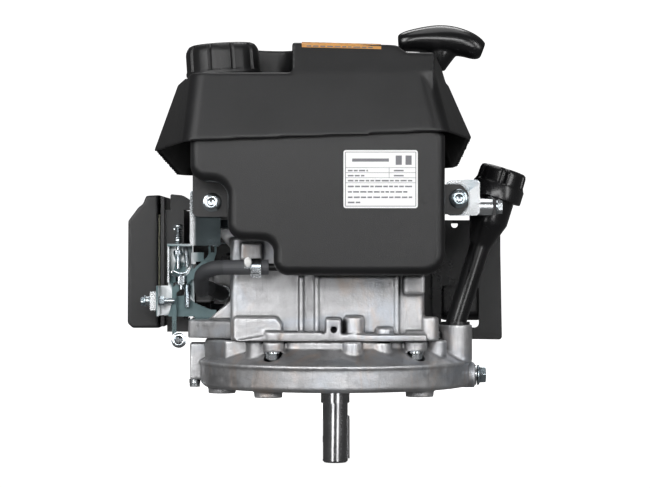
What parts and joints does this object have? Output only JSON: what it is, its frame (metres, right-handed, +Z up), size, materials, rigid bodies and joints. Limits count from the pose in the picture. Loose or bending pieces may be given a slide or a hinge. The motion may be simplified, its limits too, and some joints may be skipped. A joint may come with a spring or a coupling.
{
  "type": "small gasoline engine",
  "caption": "Air-cooled vertical-shaft overhead-valve petrol engine with tank, pull starter, air cleaner and muffler, moving crank train and valve gear.",
  "frame": {"origin": "output shaft axis at the plane of the three mounting feet", "axes": "+Z up along the crankshaft axis, away from the driven end, +Y towards the cylinder head, +X towards the oil filler; the fuel tank faces -Y"},
  "size_m": [0.3522, 0.3758, 0.3833],
  "materials": {
    "cast_aluminium": "die cast",
    "machined_steel": "machined",
    "zinc_steel": "bright zinc",
    "satin_black_plastic": "satin",
    "gloss_black_plastic": "gloss",
    "black_sheet": "satin black",
    "dark_rubber": "matt",
    "white_label": "coated",
    "filter_paper": "pleated",
    "cast_iron": "cast",
    "ceramic_white": "glazed",
    "gasket_paper": "pressed",
    "rope_fibre": "braided"
  },
  "bodies": {
    "engine_block": {"sump": "cast_aluminium", "drain_plug": "zinc_steel", "crank_seals": "dark_rubber", "case_gasket": "gasket_paper", "crankcase": "cast_aluminium", "case_bolts": "zinc_steel", "cylinder_head": "cast_aluminium", "rocker_cover": "black_sheet", "spark_plug": "ceramic_white", "plug_lead": "dark_rubber", "ignition_coil": "gloss_black_plastic", "blower_housing": "black_sheet", "recoil_housing": "satin_black_plastic", "starter_rope": "rope_fibre", "top_cover": "satin_black_plastic", "fuel_tank": "satin_black_plastic", "tank_brackets": "zinc_steel", "tank_bolts": "zinc_steel", "rating_plate": "white_label", "oil_filler_tube": "gloss_black_plastic", "oil_tube_bolt": "zinc_steel", "air_filter": "filter_paper", "air_cleaner_base": "satin_black_plastic", "carburettor": "cast_aluminium", "float_bowl": "zinc_steel", "intake_spacer": "gloss_black_plastic", "control_bracket": "zinc_steel", "cable_clamp": "zinc_steel", "speed_screw": "zinc_steel", "fuel_hose": "dark_rubber", "muffler": "black_sheet", "muffler_guard": "black_sheet", "piston": "cast_aluminium", "piston_rings": "cast_iron", "valve_springs": "machined_steel", "hose_clips": "zinc_steel"},
    "crank": {"crankshaft": "machined_steel", "shaft_key": "machined_steel", "flywheel": "cast_aluminium", "starter_cup": "zinc_steel"},
    "rod": {"conrod": "cast_aluminium", "wrist_pin": "machined_steel"},
    "cam": {"camshaft": "cast_iron"},
    "pushrod_in": {"intake_pushrod": "machined_steel"},
    "pushrod_ex": {"exhaust_pushrod": "machined_steel"},
    "valve_in": {"intake_valve": "machined_steel"},
    "valve_ex": {"exhaust_valve": "machined_steel"},
    "rocker_in": {"intake_rocker": "machined_steel"},
    "rocker_ex": {"exhaust_rocker": "machined_steel"},
    "pulley": {"recoil_pulley": "satin_black_plastic"},
    "handle": {"starter_handle": "gloss_black_plastic"},
    "cap_lift": {"fuel_cap_seal": "dark_rubber"},
    "cap": {"fuel_cap": "satin_black_plastic"},
    "dipstick": {"oil_dipstick": "gloss_black_plastic"},
    "oil_cap": {"oil_cap": "gloss_black_plastic"},
    "cleaner_cover": {"air_cleaner_cover": "satin_black_plastic"},
    "throttle": {"throttle_shaft": "machined_steel"},
    "governor": {"governor_arm": "zinc_steel"},
    "link": {"governor_link": "zinc_steel"},
    "control": {"control_lever": "zinc_steel"}
  },
  "joints": [
    {"name": "crank_spin", "type": "hinge", "parent": "engine_block", "child": "crank", "pos_m": [0, 0, 0.098], "axis": [0, 0, 1], "continuous": true},
    {"name": "conrod_big_end", "type": "hinge", "parent": "crank", "child": "rod", "pos_m": [0, 0.0225, 0.098], "axis": [0, 0, 1], "continuous": true},
    {"name": "cam_spin", "type": "hinge", "parent": "engine_block", "child": "cam", "pos_m": [0.052, 0.02993, 0.027], "axis": [0, 0, 1], "continuous": true},
    {"name": "intake_pushrod_lift", "type": "slide", "parent": "engine_block", "child": "pushrod_in", "axis": [0, 1, 0], "range_m": [0, 0.005]},
    {"name": "intake_rocker_tilt", "type": "hinge", "parent": "engine_block", "child": "rocker_in", "pos_m": [0.034, 0.188, 0.082], "axis": [0, 0, 1], "range_deg": [0, 15.5]},
    {"name": "intake_valve_lift", "type": "slide", "parent": "engine_block", "child": "valve_in", "axis": [0, -1, 0], "range_m": [0, 0.005], "stiffness_N_per_m": 3000, "springref_m": -0.01},
    {"name": "exhaust_pushrod_lift", "type": "slide", "parent": "engine_block", "child": "pushrod_ex", "axis": [0, 1, 0], "range_m": [0, 0.005]},
    {"name": "exhaust_rocker_tilt", "type": "hinge", "parent": "engine_block", "child": "rocker_ex", "pos_m": [0.034, 0.188, 0.114], "axis": [0, 0, 1], "range_deg": [0, 15.5]},
    {"name": "exhaust_valve_lift", "type": "slide", "parent": "engine_block", "child": "valve_ex", "axis": [0, -1, 0], "range_m": [0, 0.005], "stiffness_N_per_m": 3000, "springref_m": -0.01},
    {"name": "recoil_spin", "type": "hinge", "parent": "engine_block", "child": "pulley", "pos_m": [0, 0, 0.25], "axis": [0, 0, 1], "range_deg": [0, 935.45], "stiffness_Nm_per_rad": 0.02, "springref_deg": -171.89},
    {"name": "starter_pull", "type": "slide", "parent": "engine_block", "child": "handle", "axis": [0.1736, 0, 0.9848], "range_m": [0, 0.8]},
    {"name": "fuel_cap_lift", "type": "slide", "parent": "engine_block", "child": "cap_lift", "axis": [-0.0628, 0, 0.998], "range_m": [0, 0.012]},
    {"name": "fuel_cap_turn", "type": "hinge", "parent": "cap_lift", "child": "cap", "pos_m": [-0.094, -0.092, 0.2705], "axis": [-0.0628, 0, 0.998], "range_deg": [0, 1080]},
    {"name": "oil_cap_lift", "type": "slide", "parent": "engine_block", "child": "dipstick", "axis": [0.3007, 0, 0.9537], "range_m": [0, 0.009]},
    {"name": "oil_cap_turn", "type": "hinge", "parent": "dipstick", "child": "oil_cap", "pos_m": [0.104, -0.03, 0.06], "axis": [0.3007, 0, 0.9537], "range_deg": [0, 1080]},
    {"name": "air_cleaner_cover_off", "type": "slide", "parent": "engine_block", "child": "cleaner_cover", "axis": [-1, 0, 0], "range_m": [0, 0.12]},
    {"name": "governor_swing", "type": "hinge", "parent": "engine_block", "child": "governor", "pos_m": [-0.136, -0.018, 0.046], "axis": [0, 1, 0], "range_deg": [0, 8]},
    {"name": "governor_link_move", "type": "slide", "parent": "engine_block", "child": "link", "axis": [1, 0, 0], "range_m": [0, 0.01173]},
    {"name": "throttle_turn", "type": "hinge", "parent": "engine_block", "child": "throttle", "pos_m": [-0.088, 0.125, 0.119], "axis": [0, 0, 1], "range_deg": [0, 70]},
    {"name": "speed_lever_swing", "type": "hinge", "parent": "engine_block", "child": "control", "pos_m": [-0.137, -0.012, 0.112], "axis": [0, 1, 0], "range_deg": [-12, 25]}
  ],
  "couplings": [
    {"joint": "conrod_big_end", "follows": "crank_spin", "ratio": -1},
    {"joint": "cam_spin", "follows": "crank_spin", "ratio": -0.5},
    {"joint": "intake_rocker_tilt", "follows": "intake_pushrod_lift", "rad_per_m": 54.1},
    {"joint": "intake_valve_lift", "follows": "intake_pushrod_lift", "ratio": 1},
    {"joint": "exhaust_rocker_tilt", "follows": "exhaust_pushrod_lift", "rad_per_m": 54.1},
    {"joint": "exhaust_valve_lift", "follows": "exhaust_pushrod_lift", "ratio": 1},
    {"joint": "recoil_spin", "follows": "starter_pull", "rad_per_m": 20.408},
    {"joint": "fuel_cap_turn", "follows": "fuel_cap_lift", "rad_per_m": 1570.8},
    {"joint": "oil_cap_turn", "follows": "oil_cap_lift", "rad_per_m": 2094.4},
    {"joint": "governor_link_move", "follows": "governor_swing", "m_per_rad": 0.084},
    {"joint": "throttle_turn", "follows": "governor_swing", "ratio": 8.75}
  ]
}
